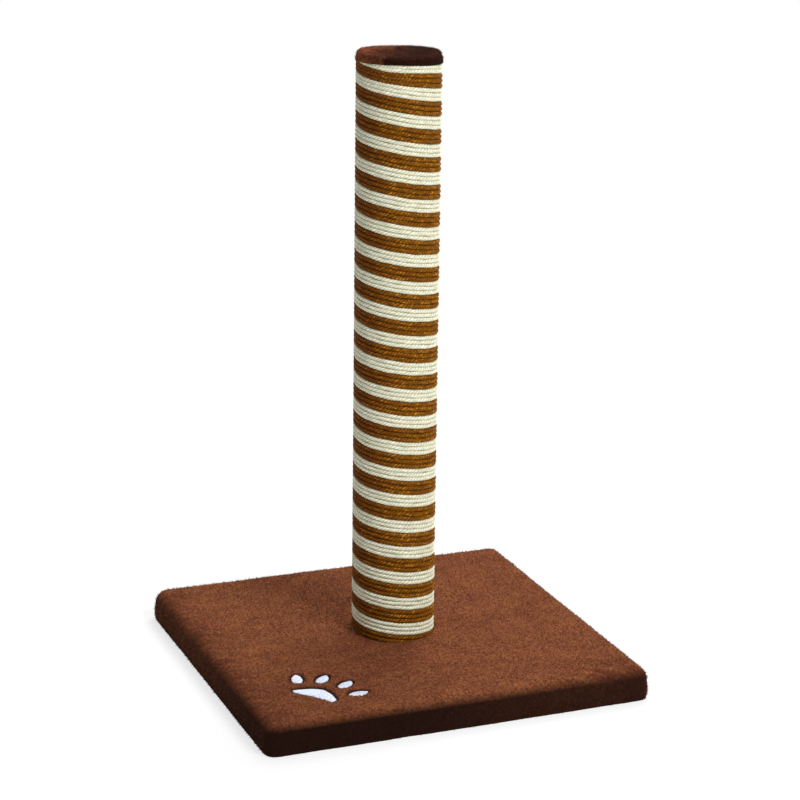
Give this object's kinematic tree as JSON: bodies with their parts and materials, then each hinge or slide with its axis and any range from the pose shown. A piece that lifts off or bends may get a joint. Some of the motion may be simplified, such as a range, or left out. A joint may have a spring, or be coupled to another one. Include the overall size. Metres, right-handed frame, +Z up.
{
  "type": "cat scratching post",
  "caption": "Free-standing cat scratching post: plush-wrapped rectangular base, upright tube wound with cream and brown sisal rope, plush cap.",
  "frame": {"origin": "centre of the base on the floor, on the post's axis", "axes": "+Z up along the post, -Y towards the front edge by the paw print, +X to the right"},
  "size_m": [0.4, 0.38, 0.6245],
  "materials": {
    "base_plush": "short brown pile",
    "cap_plush": "short dark brown pile",
    "sisal_cream": "natural sisal twine",
    "sisal_brown": "dyed sisal twine",
    "paw_thread": "satin embroidery thread",
    "chipboard": "raw particle board",
    "plug_wood": "raw sawn wood",
    "tube_board": "wound kraft board",
    "zinc_steel": "zinc plated"
  },
  "bodies": {
    "root": {"base_board": "chipboard", "base_plush_cover": "base_plush", "cover_staples": "zinc_steel", "post_bolt": "zinc_steel", "bolt_washer": "zinc_steel", "tee_nut": "zinc_steel", "post_tube": "tube_board", "bottom_plug": "plug_wood", "bottom_plug_staples": "zinc_steel", "top_plug": "plug_wood", "top_plug_staples": "zinc_steel", "cap_disc": "plug_wood", "cap_plush_cover": "cap_plush", "cap_staples": "zinc_steel", "paw_toe_stitching": "paw_thread", "paw_heel_stitching": "paw_thread", "cream_rope_1": "sisal_cream", "brown_rope_1": "sisal_brown", "cream_rope_2": "sisal_cream", "brown_rope_2": "sisal_brown", "cream_rope_3": "sisal_cream", "brown_rope_3": "sisal_brown"}
  },
  "joints": []
}
